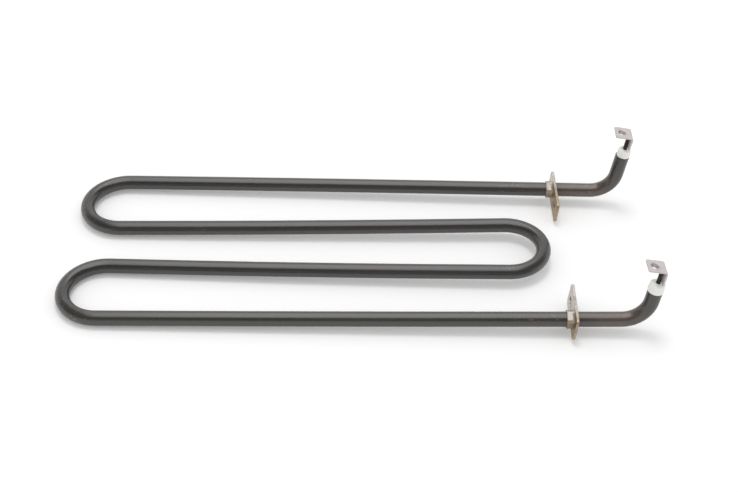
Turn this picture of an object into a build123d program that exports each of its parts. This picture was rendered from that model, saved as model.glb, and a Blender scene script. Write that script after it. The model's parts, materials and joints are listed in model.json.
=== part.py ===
"""Tubular heating element: an 8 mm sheath bent into four parallel runs, lying as it rests on a table.

The element is drawn flat, in its own plane: +X runs from the return bends to the terminals, +Y is the
rear and +Z is the side that the terminal legs rise to. It is then set down on the table plane, which
touches it at three points, with the middle of its outline over the origin. Millimetres and degrees.
"""

import os
from math import cos, radians, sin

from build123d import *

# Sheath, filling and heating coil
SHEATH_DIAMETER = 8.0
SHEATH_WALL = 0.8
COIL_DIAMETER = 3.2

# Serpentine, from the rear terminal to the front one: four runs joined by three return bends.
# A run is a length and the angle by which it is bowed; a bend is a centre-line radius and its turn.
FIRST_RUN_START = (99.3, 44.2)
FIRST_RUN_HEADING = 178.5
RUNS = ((240.4, 0.7), (217.1, 1.5), (217.7, -1.8), (240.0, 0.5))
BENDS = ((21.2, 181.1), (20.0, -181.8), (20.7, 181.8))

# Terminal ends: a straight cold lead through the flange, an upward bend and a short upright leg
END_BEND_RADIUS = 14.4
END_BEND_ANGLE = 81.3
LEAD_LENGTH = {"rear": 28.7, "front": 33.3}
LEG_LENGTH = {"rear": 13.3, "front": 6.5}
LEG_LEAN = {"rear": 0.0, "front": 4.3}

# Mounting flanges: a stamped plate with a neck drawn out of it and crimped to a hexagon on the sheath
PLATE_LENGTH = 30.0
PLATE_HEIGHT = 16.0
PLATE_THICKNESS = 1.5
PLATE_CORNER_RADIUS = 1.5
NECK_FROM_PLATE_END = 9.2
NECK_LENGTH = 3.8
NECK_WALL = 0.75
NECK_CORNER_RADIUS = 0.9
NECK_ROOT_RADIUS = 0.6
DRAW_RADIUS = 0.8
CRIMP_CLEARANCE = 0.05
SCREW_HOLE_DIAMETER = 4.3
SCREW_HOLE_FROM_NECK = 16.0
FLANGE_FROM_COLD_END = {"rear": 7.8, "front": 10.6}
FLANGE_CLOCKING = {"rear": 8.5, "front": 0.5}

# Ceramic bead that closes each sheath end, and the resin seal under it
BEAD_BASE_DIAMETER = 7.3
BEAD_TOP_DIAMETER = 6.6
BEAD_HEIGHT = 4.7
BEAD_EDGE = 0.5
SPIGOT_LENGTH = 2.2
SPIGOT_CLEARANCE = 0.1
PIN_CLEARANCE = 0.1
SEAL_LENGTH = 1.9

# Terminal pin and the folded tab that is welded on a flat coined along the pin
PIN_DIAMETER = 2.3
PIN_EXPOSED = 9.2
PIN_FLAT_DEPTH = 0.3
TAB_THICKNESS = 0.8
TAB_WIDTH = 10.0
TAB_LEAF_LENGTH = 10.0
TAB_LEG_LENGTH = 8.5
TAB_FOLD_RADIUS = 0.6
TAB_CORNER_RADIUS = 0.7
TAB_HOLE_DIAMETER = 4.2
TAB_HOLE_FROM_FREE_EDGE = 3.9
TAB_HOLE_BREAK = 0.25

SHEATH_RADIUS = SHEATH_DIAMETER / 2
SHEATH_BORE_RADIUS = SHEATH_RADIUS - SHEATH_WALL
PIN_RADIUS = PIN_DIAMETER / 2
UP = Vector(0, 0, 1)
ENDS = ("rear", "front")


def turned(axis_across, axis_up, angle):
    """The direction found by turning axis_across towards axis_up."""
    return axis_across * cos(radians(angle)) + axis_up * sin(radians(angle))


def arc(start, heading, towards, radius, angle):
    """An arc that leaves start along heading and curls towards one side."""

    def point(swept):
        along = heading * (radius * sin(radians(swept)))
        return start + along + towards * (radius * (1 - cos(radians(swept))))

    return ThreePointArc(start, point(angle / 2), point(angle))


def flat_arc(start, heading, radius, angle):
    """An arc in the element's plane, to the left where its angle is positive."""
    side = UP.cross(heading) if angle > 0 else heading.cross(UP)
    return arc(start, heading, side, radius, abs(angle))


def serpentine():
    """The centre line of the heated part, as a list of tangent edges."""
    edges = []
    point = Vector(*FIRST_RUN_START, 0)
    heading = turned(Vector(1, 0, 0), Vector(0, 1, 0), FIRST_RUN_HEADING)
    for number, (length, bow) in enumerate(RUNS):
        edges.append(flat_arc(point, heading, length / radians(abs(bow)), bow))
        point, heading = edges[-1] @ 1, edges[-1] % 1
        if number < len(BENDS):
            edges.append(flat_arc(point, heading, *BENDS[number]))
            point, heading = edges[-1] @ 1, edges[-1] % 1
    return edges


HEATED_EDGES = serpentine()
# Where each cold lead starts, and the way it runs out to its terminal
COLD_END = {
    "rear": (HEATED_EDGES[0] @ 0, -(HEATED_EDGES[0] % 0)),
    "front": (HEATED_EDGES[-1] @ 1, HEATED_EDGES[-1] % 1),
}


def end_edges(end, reach):
    """The centre line of a terminal end, from the cold end to a distance up its leg."""
    start, heading = COLD_END[end]
    lead = Line(start, start + heading * LEAD_LENGTH[end])
    towards = turned(UP, UP.cross(heading), LEG_LEAN[end])
    bend = arc(lead @ 1, heading, towards, END_BEND_RADIUS, END_BEND_ANGLE)
    leg = Line(bend @ 1, bend @ 1 + (bend % 1) * reach)
    return [lead, bend, leg]


def mouth(end):
    """The plane across a sheath end: its Z leaves the sheath and its X points away from the runs."""
    heading = COLD_END[end][1]
    bend, leg = end_edges(end, LEG_LENGTH[end])[1:]
    outward = heading - (bend % 1) * heading.dot(bend % 1)
    return Plane(origin=leg @ 1, x_dir=outward, z_dir=leg % 1)


def swept(edges, outer_radius, inner_radius=0.0):
    """A round rod or tube along tangent edges."""
    path = Wire(edges)
    section = Circle(outer_radius)
    if inner_radius:
        section -= Circle(inner_radius)
    return sweep(Plane(origin=path @ 0, z_dir=path % 0) * section, path=path)


def sheath_tube():
    """The metal sheath, one hollow tube from mouth to mouth."""
    rear = [edge.reversed() for edge in reversed(end_edges("rear", LEG_LENGTH["rear"]))]
    whole = rear + HEATED_EDGES + end_edges("front", LEG_LENGTH["front"])
    return swept(whole, SHEATH_RADIUS, SHEATH_BORE_RADIUS)


def resistance_coil():
    """The envelope of the wound resistance wire, between the inner ends of the two pins."""
    return swept(HEATED_EDGES, COIL_DIAMETER / 2)


def magnesia_fill():
    """The packed magnesia around the coil and the pins, up to the two seals."""
    fill = swept(HEATED_EDGES, SHEATH_BORE_RADIUS, COIL_DIAMETER / 2)
    for end in ENDS:
        reach = LEG_LENGTH[end] - SPIGOT_LENGTH - SEAL_LENGTH
        fill += swept(end_edges(end, reach), SHEATH_BORE_RADIUS, PIN_RADIUS)
    return fill


def end_seal(end):
    """The resin plug between the magnesia and the bead's spigot."""
    ring = Circle(SHEATH_BORE_RADIUS) - Circle(PIN_RADIUS)
    return mouth(end) * Pos(0, 0, -SPIGOT_LENGTH - SEAL_LENGTH) * extrude(ring, SEAL_LENGTH)


def ceramic_bead(end):
    """The tapered bead on the sheath's rim, with a spigot in its bore and a hole for the pin."""
    hole = PIN_RADIUS + PIN_CLEARANCE
    spigot = SHEATH_BORE_RADIUS - SPIGOT_CLEARANCE
    half_section = Polyline(
        (hole, -SPIGOT_LENGTH),
        (spigot, -SPIGOT_LENGTH),
        (spigot, 0),
        (BEAD_BASE_DIAMETER / 2, 0),
        (BEAD_TOP_DIAMETER / 2, BEAD_HEIGHT),
        (hole, BEAD_HEIGHT),
        close=True,
    )
    face = make_face(Plane.XZ * half_section)
    top_rim = face.vertices().sort_by(Axis.Z)[-2:].sort_by(Axis.X)[-1]
    return mouth(end) * revolve(fillet(top_rim, BEAD_EDGE), Axis.Z)


def terminal_pin(end):
    """The cold pin, bent with the sheath, with a coined flat for the tab on its outer side."""
    pin = swept(end_edges(end, LEG_LENGTH[end] + BEAD_HEIGHT + PIN_EXPOSED), PIN_RADIUS)
    flat_length = TAB_LEG_LENGTH - TAB_THICKNESS - TAB_FOLD_RADIUS
    flat = Box(
        PIN_DIAMETER, 2 * PIN_DIAMETER, flat_length, align=(Align.MIN, Align.CENTER, Align.MAX)
    )
    return pin - mouth(end) * Pos(PIN_RADIUS - PIN_FLAT_DEPTH, 0, BEAD_HEIGHT + PIN_EXPOSED) * flat


def terminal_tab(end):
    """The folded tab: its leg is welded to the pin's flat and its leaf reaches over the pin."""
    inner = PIN_RADIUS - PIN_FLAT_DEPTH
    outer = inner + TAB_THICKNESS
    under = BEAD_HEIGHT + PIN_EXPOSED + TAB_FOLD_RADIUS
    top = under + TAB_THICKNESS
    free_edge = outer - TAB_LEAF_LENGTH
    profile = Polyline(
        (free_edge, under),
        (free_edge, top),
        (outer, top),
        (outer, top - TAB_LEG_LENGTH),
        (inner, top - TAB_LEG_LENGTH),
        (inner, under),
        close=True,
    )
    face = make_face(Plane.XZ * profile)
    inside_corner = face.vertices().sort_by_distance((inner, 0, under))[0]
    face = fillet(inside_corner, TAB_FOLD_RADIUS)
    outside_corner = face.vertices().sort_by_distance((outer, 0, top))[0]
    face = fillet(outside_corner, TAB_FOLD_RADIUS + TAB_THICKNESS)
    sheet = extrude(face, TAB_WIDTH / 2, both=True)
    leaf_corners = sheet.edges().filter_by(Axis.Z).group_by(Axis.X)[0]
    leg_corners = sheet.edges().filter_by(Axis.X).group_by(Axis.Z)[0]
    sheet = fillet(leaf_corners + leg_corners, TAB_CORNER_RADIUS)
    hole_place = Pos(free_edge + TAB_HOLE_FROM_FREE_EDGE, 0, under)
    sheet -= hole_place * extrude(Circle(TAB_HOLE_DIAMETER / 2), TAB_THICKNESS)
    top_rim = sheet.edges().filter_by(lambda edge: edge.is_closed).sort_by(Axis.Z)[-1]
    return mouth(end) * chamfer(top_rim, TAB_HOLE_BREAK)


def flange_plane(end):
    """The plane of a flange's outer face, centred on the sheath: its X points at the screw hole."""
    start, heading = COLD_END[end]
    inward = heading.cross(UP) if end == "rear" else UP.cross(heading)
    screw_way = turned(inward, UP, FLANGE_CLOCKING[end])
    return Plane(origin=start + heading * FLANGE_FROM_COLD_END[end], x_dir=screw_way, z_dir=heading)


def is_neck_root(edge):
    """Whether an edge lies in the plate's inner face and on the outline of the neck."""
    box = edge.bounding_box()
    level = abs(box.min.Z + PLATE_THICKNESS) < 1e-6 and abs(box.max.Z + PLATE_THICKNESS) < 1e-6
    return level and edge.center().length < SHEATH_RADIUS * 2 + NECK_WALL


def mounting_flange(end):
    """The stamped plate with its drawn neck, which points at the runs and is crimped to a hexagon."""
    bore_radius = SHEATH_RADIUS + CRIMP_CLEARANCE
    plate_centre = PLATE_LENGTH / 2 - NECK_FROM_PLATE_END
    outline = Pos(plate_centre, 0) * RectangleRounded(PLATE_LENGTH, PLATE_HEIGHT, PLATE_CORNER_RADIUS)
    plate = Pos(0, 0, -PLATE_THICKNESS) * extrude(outline, PLATE_THICKNESS)
    hexagon = RegularPolygon(bore_radius + NECK_WALL, 6, major_radius=False)
    hexagon = fillet(hexagon.vertices(), NECK_CORNER_RADIUS)
    neck = Pos(0, 0, -PLATE_THICKNESS - NECK_LENGTH) * extrude(hexagon, NECK_LENGTH)
    flange = plate + neck
    flange = fillet(flange.edges().filter_by(is_neck_root), NECK_ROOT_RADIUS)
    flange -= Pos(0, 0, -PLATE_THICKNESS - NECK_LENGTH) * extrude(
        Circle(bore_radius), NECK_LENGTH + PLATE_THICKNESS
    )
    mouth_edge = flange.edges().filter_by(GeomType.CIRCLE).sort_by(Axis.Z)[-1]
    flange = fillet(mouth_edge, DRAW_RADIUS)
    screw_hole = extrude(Circle(SCREW_HOLE_DIAMETER / 2), -PLATE_THICKNESS)
    flange -= Pos(SCREW_HOLE_FROM_NECK, 0) * screw_hole
    return flange_plane(end) * flange


def table_plane(flanges):
    """The plane that touches the two flanges and the last return bend from below."""
    rear_foot, front_foot = [flange.vertices().sort_by(Axis.Z)[0].center() for flange in flanges]
    bend_foot = HEATED_EDGES[-2] @ 0.5 - UP * SHEATH_RADIUS
    normal = (front_foot - bend_foot).cross(rear_foot - bend_foot).normalized()
    along = Vector(1, 0, 0)
    return Plane(origin=bend_foot, x_dir=along - normal * along.dot(normal), z_dir=normal)


def drawn_pieces():
    """Every piece by its name, in the element's own plane."""
    pieces = {
        "sheath_tube": sheath_tube(),
        "resistance_coil": resistance_coil(),
        "magnesia_fill": magnesia_fill(),
    }
    for end in ENDS:
        pieces["terminal_pin_" + end] = terminal_pin(end)
        pieces["end_seal_" + end] = end_seal(end)
        pieces["ceramic_bead_" + end] = ceramic_bead(end)
        pieces["terminal_tab_" + end] = terminal_tab(end)
        pieces["mounting_flange_" + end] = mounting_flange(end)
    return pieces


def resting_place(pieces):
    """The move that sets the pieces on the table, with their outline centred over the origin."""
    table = table_plane([pieces["mounting_flange_" + end] for end in ENDS])
    to_table = table.location.inverse()
    boxes = [(to_table * piece).bounding_box() for piece in pieces.values()]
    middle_x = (min(box.min.X for box in boxes) + max(box.max.X for box in boxes)) / 2
    middle_y = (min(box.min.Y for box in boxes) + max(box.max.Y for box in boxes)) / 2
    return Pos(-middle_x, -middle_y, -min(box.min.Z for box in boxes)) * to_table


PIECES = drawn_pieces()
REST = resting_place(PIECES)
os.makedirs("parts", exist_ok=True)
for name, piece in PIECES.items():
    export_step(REST * piece, "parts/" + name + ".step")
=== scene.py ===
"""Looks of the tubular heating element: materials, flanges, beads, small detail, studio and camera.

Lengths are in metres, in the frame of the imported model, except where a comment says millimetres. The
element lies on the floor at z = 0.
"""

import json
import math

import bmesh
import bpy
from mathutils import Matrix, Vector


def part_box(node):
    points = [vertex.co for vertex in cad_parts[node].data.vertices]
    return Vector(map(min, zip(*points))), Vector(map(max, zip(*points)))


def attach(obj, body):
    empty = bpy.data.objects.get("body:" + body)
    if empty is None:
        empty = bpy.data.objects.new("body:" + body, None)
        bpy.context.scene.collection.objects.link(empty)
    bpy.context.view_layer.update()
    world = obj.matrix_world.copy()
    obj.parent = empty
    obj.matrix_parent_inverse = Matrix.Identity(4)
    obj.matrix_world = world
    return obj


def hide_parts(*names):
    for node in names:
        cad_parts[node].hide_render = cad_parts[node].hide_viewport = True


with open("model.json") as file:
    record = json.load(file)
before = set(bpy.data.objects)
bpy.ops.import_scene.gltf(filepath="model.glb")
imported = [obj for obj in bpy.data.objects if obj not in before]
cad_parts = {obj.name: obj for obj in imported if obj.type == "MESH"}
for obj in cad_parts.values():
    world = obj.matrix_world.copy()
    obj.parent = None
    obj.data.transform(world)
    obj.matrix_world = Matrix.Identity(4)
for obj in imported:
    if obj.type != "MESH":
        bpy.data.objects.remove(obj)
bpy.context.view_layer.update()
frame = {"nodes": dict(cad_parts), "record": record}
NODES = frame["nodes"]

# Camera: the photograph's 738 x 492 frame
IMAGE_WIDTH = 738
FOCAL_PIXELS = 1259.72
SENSOR_WIDTH_MM = 36.0
CAMERA_TARGET = Vector((0.00806, 0.01088, 0.0))
CAMERA_DISTANCE = 0.70952
CAMERA_ELEVATION = math.radians(39.715)
CAMERA_AZIMUTH = math.radians(-0.109)
CAMERA_ROLL = math.radians(0.908)

# Meshes are laid out in millimetres, with this many points round a circle
MM = 0.001
SEGMENTS = 72
QUARTER_STEPS = 6
CORNER_STEPS = 8
MERGE_DISTANCE = 0.001
SHARP_ANGLE = math.radians(40)

# The flange plate, in millimetres, with the neck's axis as its origin
PLATE_LENGTH = 32.2
PLATE_HEIGHT = 12.8
PLATE_THICKNESS = 1.4
PLATE_CORNER = 2.2
PLATE_EDGE = 0.15
PLATE_OUTER_END = 10.0
SCREW_HOLE_DISTANCE = 15.4
SCREW_HOLE_RADIUS = 2.1
NECK_BORE = 4.05
NECK_LENGTH = 3.5
NECK_FLAT = 4.55
NECK_CORNER = 5.15
NECK_DRAW = 0.9
NECK_EDGE = 0.2
HEXAGON_SIDES = 6

# Each flange: where the tube's axis meets its outer face, the side that its screw hole is on, how far it
# is turned about the tube in degrees, and how far the plate leans for each millimetre along and across it
FLANGES = {
    "rear": {"centre": (115.570, 54.720, 9.044), "side": -1, "turn": -3.21, "lean": (0.0391, -0.0769)},
    "front": {"centre": (115.856, -55.486, 8.154), "side": 1, "turn": -2.11, "lean": (0.0365, 0.1117)},
}

# Each bead: the middle of the tube's mouth, and the bead's profile of radius and height, in millimetres
PIN_BORE = 1.25
BEADS = {
    "rear": {
        "mouth": (152.150, 53.552, 34.982),
        "profile": (
            (3.55, 0.00), (3.66, 0.12), (3.68, 1.50), (3.62, 3.40), (3.40, 4.20), (2.90, 4.65), (2.20, 4.80),
        ),
    },
    "front": {
        "mouth": (154.453, -53.900, 27.375),
        "profile": (
            (3.95, -0.25), (4.10, 0.10), (4.15, 1.20), (4.12, 3.60), (3.95, 4.60), (3.55, 5.05), (2.80, 5.20),
        ),
    },
}

# The drawn rim of a tab's hole: radius and height above the middle of the sheet, in millimetres
TAB_RIM = (
    (2.95, 0.39), (2.75, 0.47), (2.50, 0.50), (2.25, 0.40), (2.10, 0.15), (2.08, -1.90),
    (2.30, -2.00), (2.60, -1.85), (2.75, -0.90), (3.00, -0.39),
)

# The weld between pin and tab: how far it stands off the pin's axis, and its radius and height
WELD_OFFSET = 0.75
WELD_PROFILE = ((0.05, 6.9), (0.75, 7.4), (1.05, 8.4), (0.95, 9.6), (1.10, 10.6), (0.90, 11.8), (0.05, 12.6))

# Places where the tube has been handled, and how far the rubs reach
HANDLED_SPOTS = (
    ((-0.1438, 0.0523, 0.010), 0.0035),
    ((-0.1391, 0.0525, 0.010), 0.0030),
    ((-0.1521, 0.0264, 0.008), 0.0060),
    ((-0.1278, 0.0134, 0.008), 0.0030),
    ((-0.1247, 0.0153, 0.008), 0.0025),
    ((-0.1417, -0.0586, 0.008), 0.0045),
    ((-0.1477, -0.0488, 0.008), 0.0040),
    ((0.0945, 0.0564, 0.012), 0.0070),
    ((0.0972, -0.0550, 0.011), 0.0090),
    ((0.0923, -0.0594, 0.010), 0.0030),
    ((0.0846, -0.0156, 0.011), 0.0040),
    ((0.0902, -0.0138, 0.011), 0.0035),
    ((0.1354, 0.0508, 0.012), 0.0030),
    ((-0.0869, 0.0136, 0.008), 0.0020),
)


# --- node helpers ---------------------------------------------------------------------------------


class Material:
    """A node material that is built up from short calls, in object coordinates."""

    def __init__(self, name):
        self.material = bpy.data.materials.new(name)
        self.material.use_nodes = True
        self.tree = self.material.node_tree
        self.shader = self.tree.nodes["Principled BSDF"]
        self.place = self.tree.nodes.new("ShaderNodeTexCoord").outputs["Object"]

    def node(self, kind, **settings):
        made = self.tree.nodes.new(kind)
        for name, value in settings.items():
            setattr(made, name, value)
        return made

    def link(self, source, target):
        self.tree.links.new(source, target)

    def feed(self, value, socket):
        """Sets a socket to a plain value, or links an output to it."""
        if isinstance(value, bpy.types.NodeSocket):
            self.link(value, socket)
        else:
            socket.default_value = value

    def set(self, **values):
        """Sets constant inputs on the shader, named with underscores for spaces."""
        for name, value in values.items():
            self.shader.inputs[name.replace("_", " ")].default_value = value

    def math(self, operation, first, second):
        made = self.node("ShaderNodeMath", operation=operation)
        for value, socket in zip((first, second), made.inputs):
            self.feed(value, socket)
        return made.outputs[0]

    def axis(self, letter):
        """One coordinate of the point being shaded."""
        return self.node_from("ShaderNodeSeparateXYZ", self.place).outputs[letter]

    def node_from(self, kind, source):
        """A new node with its first input linked to a source."""
        made = self.node(kind)
        self.link(source, made.inputs[0])
        return made

    def noise(self, scale, stretch=(1, 1, 1), detail=4.0, roughness=0.55, seed=0.0):
        """Noise between 0 and 1; a stretch below 1 draws it out along that axis."""
        mapping = self.node_from("ShaderNodeMapping", self.place)
        mapping.inputs["Scale"].default_value = stretch
        mapping.inputs["Location"].default_value = (seed, seed * 1.7, seed * 0.6)
        made = self.node("ShaderNodeTexNoise")
        self.link(mapping.outputs[0], made.inputs["Vector"])
        made.inputs["Scale"].default_value = scale
        made.inputs["Detail"].default_value = detail
        made.inputs["Roughness"].default_value = roughness
        return made.outputs["Fac"]

    def ramp(self, value, *stops):
        """A colour ramp; a stop is a position and a grey level or a colour."""
        made = self.node_from("ShaderNodeValToRGB", value)
        ramp = made.color_ramp
        while len(ramp.elements) < len(stops):
            ramp.elements.new(0.5)
        for element, (position, colour) in zip(ramp.elements, stops):
            element.position = position
            element.color = (*colour, 1) if isinstance(colour, tuple) else (colour, colour, colour, 1)
        return made.outputs["Color"]

    def between(self, value, low, high):
        """0 below low, 1 above high and smooth between them."""
        made = self.node("ShaderNodeMapRange", interpolation_type="SMOOTHSTEP")
        self.feed(value, made.inputs["Value"])
        made.inputs["From Min"].default_value = low
        made.inputs["From Max"].default_value = high
        return made.outputs["Result"]

    def near(self, point, radius, soft):
        """1 within a radius of a point, falling to 0 over the soft distance outside it."""
        made = self.node("ShaderNodeVectorMath", operation="DISTANCE")
        self.link(self.place, made.inputs[0])
        made.inputs[1].default_value = point
        return self.math("SUBTRACT", 1.0, self.between(made.outputs["Value"], radius, radius + soft))

    def mix(self, factor, first, second):
        """A colour mix by a factor that varies over the surface."""
        made = self.node("ShaderNodeMix", data_type="RGBA")
        self.feed(factor, made.inputs["Factor"])
        for value, socket in ((first, made.inputs[6]), (second, made.inputs[7])):
            self.feed((*value, 1) if isinstance(value, tuple) else value, socket)
        return made.outputs[2]

    def bump(self, height, distance, strength=1.0, below=None):
        made = self.node("ShaderNodeBump")
        self.link(height, made.inputs["Height"])
        made.inputs["Distance"].default_value = distance
        made.inputs["Strength"].default_value = strength
        if below is not None:
            self.link(below, made.inputs["Normal"])
        return made.outputs["Normal"]

    def colour(self, source):
        self.link(source, self.shader.inputs["Base Color"])

    def rough(self, source):
        self.link(source, self.shader.inputs["Roughness"])

    def normal(self, source):
        self.link(source, self.shader.inputs["Normal"])


# --- materials ------------------------------------------------------------------------------------


def mount(name):
    """The position in metres and the axis of one of the record's mounts."""
    found = next(each for each in frame["record"]["mounts"] if each["name"] == name)
    return Vector(found["pos_m"]), Vector(found["axis"]).normalized()


def flange_axes(end):
    """A flange's directions along its length, across its height and out along the tube."""
    place = FLANGES[end]
    _, outward = mount("screw_hole_" + end)
    level = Vector((0, 0, 1)).cross(outward).normalized()
    turn = math.radians(place["turn"])
    along = level * place["side"] * math.cos(turn) + outward.cross(level) * math.sin(turn)
    return along, outward.cross(along), outward


def centre_of(node):
    """The middle of a CAD node's box, in metres."""
    low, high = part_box(node)
    return (Vector(low) + Vector(high)) / 2


# Colours of the marks on the sheath and the flanges, and of the painted highlight and shade on the flange
# necks
DRAWING_LINE = (0.055, 0.052, 0.047)
OLIVE_OXIDE = (0.026, 0.024, 0.015)
HEAT_TINT = (0.085, 0.055, 0.040)
RUBBED_METAL = (0.34, 0.31, 0.30)
GRIME = (0.20, 0.14, 0.09)
BURNT_STEEL = (0.22, 0.13, 0.07)
# Painted shade and highlight on the crimped necks: bronze darkened by painted shade on the lower facets, and
# a pale painted highlight on the upper facet
CRIMP_BRONZE_AND_SHADE = (0.23, 0.175, 0.115)
CRIMP_PAINTED_HIGHLIGHT = (0.37, 0.335, 0.305)

# Where the heat tint is centred on an end bend: back from the bead and up from the flange
TINT_BEHIND_BEAD = 0.020
TINT_ABOVE_FLANGE = 0.005

# How far the middle of a neck lies behind its flange's outer face
NECK_MIDDLE = 0.0035

# The burnt mark's distance from the screw hole's middle, in millimetres
BURN_FROM_HOLE = 3.6


def sheath_material():
    """Dark satin oxide, brown where the ends ran hot, with drawing lines, rubs and pale specks."""
    made = Material("oxidised_sheath")
    made.set(Metallic=0.0, IOR=1.75)
    cloud = made.noise(28, stretch=(0.35, 1, 1), detail=6)
    fine = made.noise(900, stretch=(0.25, 1, 1), detail=5, roughness=0.7, seed=3.1)
    base = made.ramp(
        cloud,
        (0.30, (0.014, 0.012, 0.010)),
        (0.55, (0.020, 0.016, 0.014)),
        (0.75, (0.027, 0.022, 0.020)),
    )
    base = made.mix(made.math("MULTIPLY", made.between(fine, 0.5, 0.75), 0.35), base, DRAWING_LINE)
    # Olive cast on the front run, and brown heat tint from the flanges outwards to the beads
    olive = made.math("SUBTRACT", 1.0, made.between(made.axis("Y"), -0.052, -0.044))
    base = made.mix(made.math("MULTIPLY", olive, 0.6), base, OLIVE_OXIDE)
    heat = 0.0
    for end in ("rear", "front"):
        flange = centre_of("mounting_flange_" + end)
        behind = centre_of("ceramic_bead_" + end).x - TINT_BEHIND_BEAD
        bend = Vector((behind, flange.y, flange.z + TINT_ABOVE_FLANGE))
        near_flange = made.math("MULTIPLY", made.near(tuple(flange), 0.004, 0.035), 0.12)
        in_bend = made.math("MULTIPLY", made.near(tuple(bend), 0.007, 0.017), 0.9)
        heat = made.math("MAXIMUM", heat, made.math("MAXIMUM", near_flange, in_bend))
    patchy = made.math("MULTIPLY", heat, made.between(made.noise(110, seed=7.7), 0.15, 0.55))
    base = made.mix(patchy, base, HEAT_TINT)
    # Rubbed specks and scratches, only where the tube has been handled
    specks = made.between(made.noise(900, detail=2, seed=11.3), 0.63, 0.70)
    scratch = made.between(made.noise(520, stretch=(0.22, 1, 1), detail=4, seed=17.9), 0.62, 0.70)
    handled = 0.0
    for point, radius in HANDLED_SPOTS:
        handled = made.math("MAXIMUM", handled, made.near(point, radius, radius))
    wear = made.math("MULTIPLY", made.math("MAXIMUM", specks, scratch), handled)
    base = made.mix(made.math("MULTIPLY", wear, 0.35), base, RUBBED_METAL)
    made.colour(base)
    made.rough(made.ramp(cloud, (0.3, 0.24), (0.7, 0.32)))
    pores = made.bump(fine, 0.00003, 0.35)
    made.normal(made.bump(cloud, 0.0002, 0.25, below=pores))
    return made.material


def flange_material():
    """Stamped stainless, greyer at its far end and bronze at its near end, with fine rolling lines and a
    painted highlight on the upper facets of its neck.
    """
    made = Material("flange_steel")
    made.set(Metallic=1.0)
    tint = made.noise(190, detail=4, seed=2.2)
    grey = made.ramp(
        tint,
        (0.30, (0.50, 0.47, 0.45)),
        (0.60, (0.60, 0.56, 0.53)),
        (0.75, (0.50, 0.45, 0.40)),
    )
    bronze = made.ramp(
        tint,
        (0.30, (0.30, 0.22, 0.14)),
        (0.55, (0.42, 0.33, 0.22)),
        (0.75, (0.34, 0.26, 0.19)),
    )
    across = made.axis("Y")
    far = 0.0
    crimped = 0.0
    for place in FLANGES.values():
        x, y, z = (MM * value for value in place["centre"])
        rising = made.between(across, y - 0.013, y + 0.009)
        far = made.math("MAXIMUM", far, made.math("MULTIPLY", rising, made.near((x, y, z), 0.025, 0.002)))
        neck = (x - NECK_MIDDLE, y, z)
        crimped = made.math("MAXIMUM", crimped, made.near(neck, 0.0050, 0.0008))
    base = made.mix(far, bronze, grey)
    # The crimped neck is its own bronze, darkened by painted shade below, with a painted highlight that makes
    # the facet that faces up paler
    crimp_bronze_and_highlight = made.mix(made.between(made.axis("Z"), 0.0085, 0.0105), CRIMP_BRONZE_AND_SHADE, CRIMP_PAINTED_HIGHLIGHT)
    base = made.mix(made.math("MULTIPLY", crimped, 0.8), base, crimp_bronze_and_highlight)
    grime = made.between(made.noise(520, detail=4, seed=5.5), 0.48, 0.72)
    base = made.mix(made.math("MULTIPLY", grime, 0.6), base, GRIME)
    # A burnt mark beside each screw hole
    for end, place in FLANGES.items():
        along, _, _ = flange_axes(end)
        beside_hole = (Vector(place["centre"]) + along * (SCREW_HOLE_DISTANCE - BURN_FROM_HOLE)) * MM
        burn = made.math("MULTIPLY", made.near(tuple(beside_hole), 0.0010, 0.0022), 0.75)
        base = made.mix(burn, base, BURNT_STEEL)
    made.colour(base)
    made.rough(made.ramp(tint, (0.3, 0.36), (0.7, 0.50)))
    made.normal(made.bump(made.noise(2200, stretch=(1, 0.15, 1), seed=8.0), 0.00003, 0.4))
    return made.material


def tab_material():
    """Pale nickel-plated steel, slightly pink, with soft rolling marks."""
    made = Material("tab_steel")
    made.set(Metallic=0.6)
    cloud = made.noise(260, detail=3, seed=4.4)
    base = made.ramp(
        cloud,
        (0.30, (0.52, 0.48, 0.48)),
        (0.55, (0.60, 0.55, 0.55)),
        (0.75, (0.50, 0.45, 0.44)),
    )
    made.colour(base)
    made.rough(made.ramp(cloud, (0.3, 0.42), (0.7, 0.54)))
    made.normal(made.bump(made.noise(2600, stretch=(0.15, 1, 1), seed=6.1), 0.00002, 0.4))
    return made.material


def ceramic_material():
    """Unglazed white steatite with faint grain."""
    made = Material("white_ceramic")
    made.set(Metallic=0.0, Subsurface_Weight=0.08, Subsurface_Scale=0.001)
    grain = made.noise(1800, detail=5, seed=1.4)
    base = made.ramp(grain, (0.35, (0.90, 0.89, 0.85)), (0.65, (0.94, 0.93, 0.90)))
    made.colour(base)
    made.rough(made.ramp(grain, (0.3, 0.50), (0.7, 0.62)))
    made.normal(made.bump(grain, 0.00003, 0.5))
    return made.material


def pin_material():
    """Cold-drawn steel pin, burnt nearly black by the tab's weld."""
    made = Material("pin_steel")
    made.set(Metallic=0.6)
    burn = made.noise(420, detail=4, seed=9.2)
    made.colour(made.ramp(burn, (0.35, (0.016, 0.015, 0.014)), (0.7, (0.06, 0.05, 0.042))))
    made.rough(made.ramp(burn, (0.3, 0.42), (0.7, 0.6)))
    made.normal(made.bump(burn, 0.00004, 0.4))
    return made.material


def weld_material():
    """Weld metal, pale where it is clean and brown where it is burnt."""
    made = Material("weld_steel")
    made.set(Metallic=0.8)
    burn = made.noise(900, detail=4, seed=3.3)
    made.colour(made.ramp(burn, (0.40, (0.10, 0.08, 0.065)), (0.62, (0.42, 0.38, 0.34))))
    made.rough(made.ramp(burn, (0.3, 0.35), (0.7, 0.6)))
    made.normal(made.bump(burn, 0.0002, 0.8))
    return made.material


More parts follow.
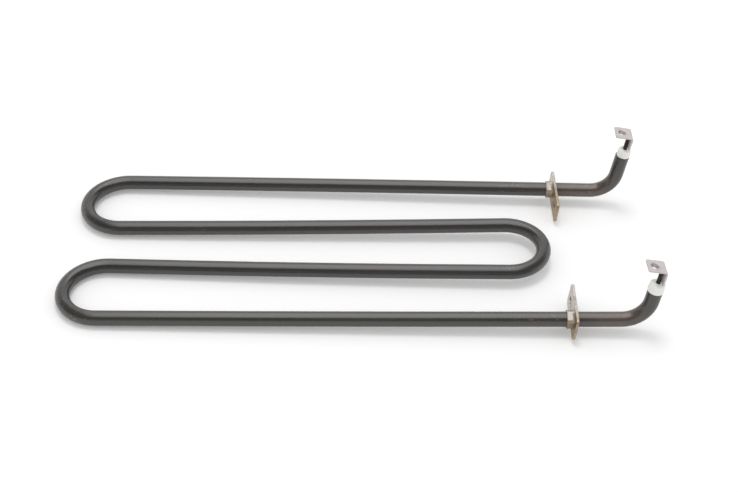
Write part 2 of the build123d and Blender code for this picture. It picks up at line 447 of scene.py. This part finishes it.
def hidden_material(name, dark, light, roughness, metallic=0.0):
    """A plain grainy finish for a sealed inner piece."""
    made = Material(name)
    made.set(Metallic=metallic)
    grain = made.noise(1200, detail=4)
    made.colour(made.ramp(grain, (0.35, dark), (0.65, light)))
    made.rough(made.ramp(grain, (0.3, roughness), (0.7, roughness + 0.1)))
    made.normal(made.bump(grain, 0.00003, 0.4))
    return made.material


def dress(prefix, material):
    """Gives a material to every CAD node whose name starts with the prefix."""
    for name, node in NODES.items():
        if name.startswith(prefix):
            node.data.materials.clear()
            node.data.materials.append(material)


# --- pieces that follow the photograph more closely than the CAD nodes ------------------------------


def frame_about(axis):
    """Two directions square to an axis, and the axis itself."""
    along = Vector(axis).normalized()
    first = Vector((1, 0, 0)).cross(along).cross(along).normalized() * -1
    return first, along.cross(first), along


def make_piece(name, mesh, node, material):
    """Links a mesh as a smooth-shaded piece under the root body; where a CAD node is given, the piece stands
    for it and the node is hidden.
    """
    piece = bpy.data.objects.new(name, mesh)
    bpy.context.scene.collection.objects.link(piece)
    for face in mesh.polygons:
        face.use_smooth = True
    mesh.materials.clear()
    mesh.materials.append(material)
    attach(piece, "root")
    if node:
        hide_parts(node)


def add_loft(mesh, rings):
    """Adds a closed loft: each ring joins the next, and the last joins the first."""
    rows = [[mesh.verts.new(point) for point in ring] for ring in rings]
    count = len(rows[0])
    for row, following in zip(rows, rows[1:] + rows[:1]):
        for index in range(count):
            beside = (index + 1) % count
            mesh.faces.new((row[index], row[beside], following[beside], following[index]))


def circle(radius, height):
    """Points round a circle about the z axis."""
    turns = (math.tau * index / SEGMENTS for index in range(SEGMENTS))
    return [(radius * math.cos(turn), radius * math.sin(turn), height) for turn in turns]


def turned_mesh(name, profile, origin, axis):
    """A closed ring turned about an axis from a profile of radius and height in millimetres."""
    first, second, along = frame_about(axis)
    origin = Vector(origin)
    shape = bmesh.new()
    add_loft(shape, [circle(radius, height) for radius, height in profile])
    for vertex in shape.verts:
        local = vertex.co.copy()
        vertex.co = (origin + first * local.x + second * local.y + along * local.z) * MM
    bmesh.ops.recalc_face_normals(shape, faces=shape.faces)
    mesh = bpy.data.meshes.new(name)
    shape.to_mesh(mesh)
    shape.free()
    return mesh


def plate_outline():
    """The plate's rounded rectangle, along its length and across its height."""
    low, high = -PLATE_OUTER_END + PLATE_CORNER, PLATE_LENGTH - PLATE_OUTER_END - PLATE_CORNER
    half = PLATE_HEIGHT / 2 - PLATE_CORNER
    points = []
    for quarter, (x, y) in enumerate(((high, half), (low, half), (low, -half), (high, -half))):
        for step in range(CORNER_STEPS + 1):
            turn = (quarter + step / CORNER_STEPS) * math.pi / 2
            points.append((x + PLATE_CORNER * math.cos(turn), y + PLATE_CORNER * math.sin(turn)))
    return points


def stamped_plate():
    """The plate's mesh with its screw hole and neck opening; its outer face is at z = 0."""
    screw = [(SCREW_HOLE_DISTANCE + x, y) for x, y, _ in circle(SCREW_HOLE_RADIUS, 0)]
    opening = [(x, y) for x, y, _ in circle(NECK_BORE + NECK_DRAW, 0)]
    curve = bpy.data.curves.new("stamping", "CURVE")
    curve.dimensions = "2D"
    curve.fill_mode = "BOTH"
    curve.extrude = PLATE_THICKNESS / 2 - PLATE_EDGE
    curve.bevel_depth = PLATE_EDGE
    curve.bevel_resolution = 2
    curve.offset = -PLATE_EDGE
    for loop in (plate_outline(), screw, opening):
        spline = curve.splines.new("POLY")
        spline.points.add(len(loop) - 1)
        for point, (x, y) in zip(spline.points, loop):
            point.co = (x, y, 0, 1)
        spline.use_cyclic_u = True
    holder = bpy.data.objects.new("stamping", curve)
    mesh = bpy.data.meshes.new_from_object(holder)
    bpy.data.objects.remove(holder)
    bpy.data.curves.remove(curve)
    for vertex in mesh.vertices:
        vertex.co.z -= PLATE_THICKNESS / 2
    return mesh


def neck_rings():
    """The neck's rings from its free end, up the hexagon and flare, and back down the round bore."""
    tip = -PLATE_THICKNESS - NECK_LENGTH
    root = -PLATE_THICKNESS
    # Height, how far the ring spreads past the hexagon, and how round it is
    outside = [
        (tip, -NECK_EDGE, 0.0),
        (tip + NECK_EDGE * 0.3, -NECK_EDGE * 0.4, 0.0),
        (tip + NECK_EDGE, 0.0, 0.0),
    ]
    for step in range(QUARTER_STEPS + 1):
        turn = step / QUARTER_STEPS * math.pi / 2
        share = 1 - math.cos(turn)
        outside.append((root - NECK_DRAW * (1 - math.sin(turn)), NECK_DRAW * share, share))
    rings = []
    for height, spread, roundness in outside:
        ring = []
        for x, y, _ in circle(1.0, height):
            turn = math.atan2(y, x)
            side = math.tau / HEXAGON_SIDES
            from_flat = (turn + side / 2) % side - side / 2
            hexagon = min(NECK_FLAT / math.cos(from_flat), NECK_CORNER)
            radius = hexagon + (NECK_CORNER - hexagon) * roundness + spread
            ring.append((x * radius, y * radius, height))
        rings.append(ring)
    rings.append(circle(NECK_BORE + 2 * NECK_DRAW, -PLATE_THICKNESS / 2))
    for step in range(QUARTER_STEPS + 1):
        turn = step / QUARTER_STEPS * math.pi / 2
        spread = NECK_DRAW * (1 - math.sin(turn))
        rings.append(circle(NECK_BORE + spread, -NECK_DRAW * (1 - math.cos(turn))))
    rings.append(circle(NECK_BORE, tip))
    return rings


def make_flange(end, material):
    """A stamped plate with its crimped hexagonal neck, leaning a little as it does in the photograph."""
    place = FLANGES[end]
    shape = bmesh.new()
    plate = stamped_plate()
    shape.from_mesh(plate)
    bpy.data.meshes.remove(plate)
    bmesh.ops.remove_doubles(shape, verts=shape.verts, dist=MERGE_DISTANCE)
    add_loft(shape, neck_rings())
    bmesh.ops.recalc_face_normals(shape, faces=shape.faces)
    centre = Vector(place["centre"])
    along, across, outward = flange_axes(end)
    lean_x, lean_y = place["lean"]
    for vertex in shape.verts:
        x, y, z = vertex.co
        fade = min(max((z + PLATE_THICKNESS + NECK_DRAW) / NECK_DRAW, 0.0), 1.0)
        z += (x * lean_x + y * lean_y) * fade
        vertex.co = (centre + along * x + across * y + outward * z) * MM
    mesh = bpy.data.meshes.new("flange_" + end)
    shape.to_mesh(mesh)
    shape.free()
    make_piece("flange_" + end, mesh, "mounting_flange_" + end, material)
    mesh.set_sharp_from_angle(angle=SHARP_ANGLE)


def make_bead(end, material):
    """A ceramic bead with soft shoulders and a bore for the pin."""
    place = BEADS[end]
    profile = place["profile"]
    bore = ((PIN_BORE, profile[-1][1]), (PIN_BORE, profile[0][1]))
    _, axis = mount("tab_hole_" + end)
    mesh = turned_mesh("bead_" + end, (*profile, *bore), place["mouth"], axis)
    make_piece("bead_" + end, mesh, "ceramic_bead_" + end, material)
    mesh.set_sharp_from_angle(angle=SHARP_ANGLE)


def make_weld(end, material):
    """The uneven weld that holds the tab's leg against the pin."""
    first, _, along = frame_about(mount("tab_hole_" + end)[1])
    origin = Vector(BEADS[end]["mouth"]) + first * WELD_OFFSET
    mesh = turned_mesh("weld_" + end, WELD_PROFILE, origin, along)
    make_piece("weld_" + end, mesh, None, material)


def make_tab_rim(end, material):
    """The rim drawn down round the hole in a tab's leaf."""
    position, axis = mount("tab_hole_" + end)
    mesh = turned_mesh("tab_rim_" + end, TAB_RIM, position / MM, axis)
    make_piece("tab_rim_" + end, mesh, None, material)


FLANGE_STEEL = flange_material()
TAB_STEEL = tab_material()
CERAMIC = ceramic_material()
PIN_STEEL = pin_material()
WELD_STEEL = weld_material()
dress("sheath_tube", sheath_material())
dress("mounting_flange", FLANGE_STEEL)
dress("terminal_tab", TAB_STEEL)
dress("ceramic_bead", CERAMIC)
dress("terminal_pin", PIN_STEEL)
dress("magnesia_fill", hidden_material("magnesia", (0.72, 0.70, 0.66), (0.82, 0.80, 0.76), 0.8))
dress(
    "resistance_coil",
    hidden_material("resistance_alloy", (0.30, 0.29, 0.28), (0.45, 0.44, 0.42), 0.4, metallic=1.0),
)
dress("end_seal", hidden_material("seal_resin", (0.35, 0.16, 0.10), (0.46, 0.22, 0.14), 0.6))
for END in ("rear", "front"):
    make_flange(END, FLANGE_STEEL)
    make_bead(END, CERAMIC)
    make_tab_rim(END, TAB_STEEL)
    make_weld(END, WELD_STEEL)


# --- studio ---------------------------------------------------------------------------------------

FLOOR_SIZE = 12.0
FLOOR_COLOUR = (0.90, 0.90, 0.90, 1)
FLOOR_GLOW = 0.14
WHITE = (1, 1, 1, 1)
WORLD_LEVEL = 0.80
CEILING_LEVEL = 0.25
BACKDROP_SLOPE = 1.0


def seen_directly(tree):
    """1 for rays that come from the camera or through a reflection or a transmission."""
    path = tree.nodes.new("ShaderNodeLightPath")
    total = path.outputs["Is Camera Ray"]
    for name in ("Is Glossy Ray", "Is Transmission Ray"):
        add = tree.nodes.new("ShaderNodeMath")
        add.operation = "MAXIMUM"
        tree.links.new(total, add.inputs[0])
        tree.links.new(path.outputs[name], add.inputs[1])
        total = add.outputs[0]
    return total


def make_floor():
    """A large white floor that keeps the shadows; a faint glow brings it up to the white behind it."""
    mesh = bpy.data.meshes.new("floor")
    half = FLOOR_SIZE / 2
    corners = [(-half, -half, 0), (half, -half, 0), (half, half, 0), (-half, half, 0)]
    mesh.from_pydata(corners, [], [(0, 1, 2, 3)])
    floor = bpy.data.objects.new("floor", mesh)
    bpy.context.scene.collection.objects.link(floor)
    material = bpy.data.materials.new("floor")
    material.use_nodes = True
    tree = material.node_tree
    shader = tree.nodes["Principled BSDF"]
    shader.inputs["Base Color"].default_value = FLOOR_COLOUR
    shader.inputs["Roughness"].default_value = 0.9
    shader.inputs["Specular IOR Level"].default_value = 0.0
    shader.inputs["Emission Color"].default_value = WHITE
    glow = tree.nodes.new("ShaderNodeMath")
    glow.operation = "MULTIPLY"
    tree.links.new(seen_directly(tree), glow.inputs[0])
    glow.inputs[1].default_value = FLOOR_GLOW
    tree.links.new(glow.outputs[0], shader.inputs["Emission Strength"])
    mesh.materials.append(material)


def make_world():
    """White where it is seen; reflections show a white backdrop behind and a dark ceiling in front."""
    world = bpy.data.worlds.new("studio")
    bpy.context.scene.world = world
    world.use_nodes = True
    tree = world.node_tree
    background = tree.nodes["Background"]
    background.inputs["Color"].default_value = WHITE

    def math_node(operation, first, second, third=0.0):
        made = tree.nodes.new("ShaderNodeMath")
        made.operation = operation
        for value, socket in zip((first, second, third), made.inputs):
            if isinstance(value, float):
                socket.default_value = value
            else:
                tree.links.new(value, socket)
        return made.outputs[0]

    def above(value, low, high):
        made = tree.nodes.new("ShaderNodeMapRange")
        made.interpolation_type = "SMOOTHSTEP"
        tree.links.new(value, made.inputs["Value"])
        made.inputs["From Min"].default_value = low
        made.inputs["From Max"].default_value = high
        return made.outputs["Result"]

    direction = tree.nodes.new("ShaderNodeTexCoord").outputs["Generated"]
    axes = tree.nodes.new("ShaderNodeSeparateXYZ")
    tree.links.new(direction, axes.inputs[0])
    height = axes.outputs["Z"]
    in_front = math_node("MULTIPLY_ADD", axes.outputs["Y"], -BACKDROP_SLOPE, height)
    ceiling = math_node("MULTIPLY", above(in_front, -0.1, 0.15), above(height, 0.08, 0.28))
    reflected = math_node("MULTIPLY_ADD", ceiling, CEILING_LEVEL - 1.0, 1.0)
    path = tree.nodes.new("ShaderNodeLightPath")
    strength = WORLD_LEVEL
    for name, level in (("Is Glossy Ray", reflected), ("Is Transmission Ray", 1.0), ("Is Camera Ray", 1.0)):
        seen = path.outputs[name]
        unseen = math_node("SUBTRACT", 1.0, seen)
        strength = math_node("MULTIPLY_ADD", seen, level, math_node("MULTIPLY", unseen, strength))
    tree.links.new(strength, background.inputs["Strength"])


def area_light(name, position, width, height, radiance, **visibility):
    """A rectangular lamp that faces the element; its power follows from its radiance and size."""
    light = bpy.data.lights.new(name, "AREA")
    light.shape = "RECTANGLE"
    light.size = width
    light.size_y = height
    light.energy = radiance * math.pi * width * height
    made = bpy.data.objects.new(name, light)
    made.location = position
    made.rotation_euler = Vector(position).to_track_quat("Z", "Y").to_euler()
    for rays, seen in visibility.items():
        setattr(made, rays, seen)
    bpy.context.scene.collection.objects.link(made)


def make_camera():
    """The camera at the photograph's viewing angle."""
    forward = Vector(
        (
            math.sin(CAMERA_AZIMUTH) * math.cos(CAMERA_ELEVATION),
            math.cos(CAMERA_AZIMUTH) * math.cos(CAMERA_ELEVATION),
            -math.sin(CAMERA_ELEVATION),
        )
    )
    level_right = Vector((math.cos(CAMERA_AZIMUTH), -math.sin(CAMERA_AZIMUTH), 0))
    level_up = level_right.cross(forward)
    right = level_right * math.cos(CAMERA_ROLL) + level_up * math.sin(CAMERA_ROLL)
    up = right.cross(forward)
    data = bpy.data.cameras.new("camera")
    data.sensor_width = SENSOR_WIDTH_MM
    data.lens = FOCAL_PIXELS * SENSOR_WIDTH_MM / IMAGE_WIDTH
    data.clip_start = 0.01
    camera = bpy.data.objects.new("camera", data)
    turn = Matrix((right, up, -forward)).transposed()
    camera.matrix_world = Matrix.Translation(CAMERA_TARGET - forward * CAMERA_DISTANCE) @ turn.to_4x4()
    bpy.context.scene.collection.objects.link(camera)
    bpy.context.scene.camera = camera


make_floor()
make_world()
area_light("key", (0, 0.25, 1.48), 0.45, 0.45, 8.3, visible_glossy=False)
area_light("reflected_softbox", (0, 0.13, 1.49), 1.3, 2.1, 2.3, visible_diffuse=False)
make_camera()
bpy.context.scene.view_settings.view_transform = "Standard"
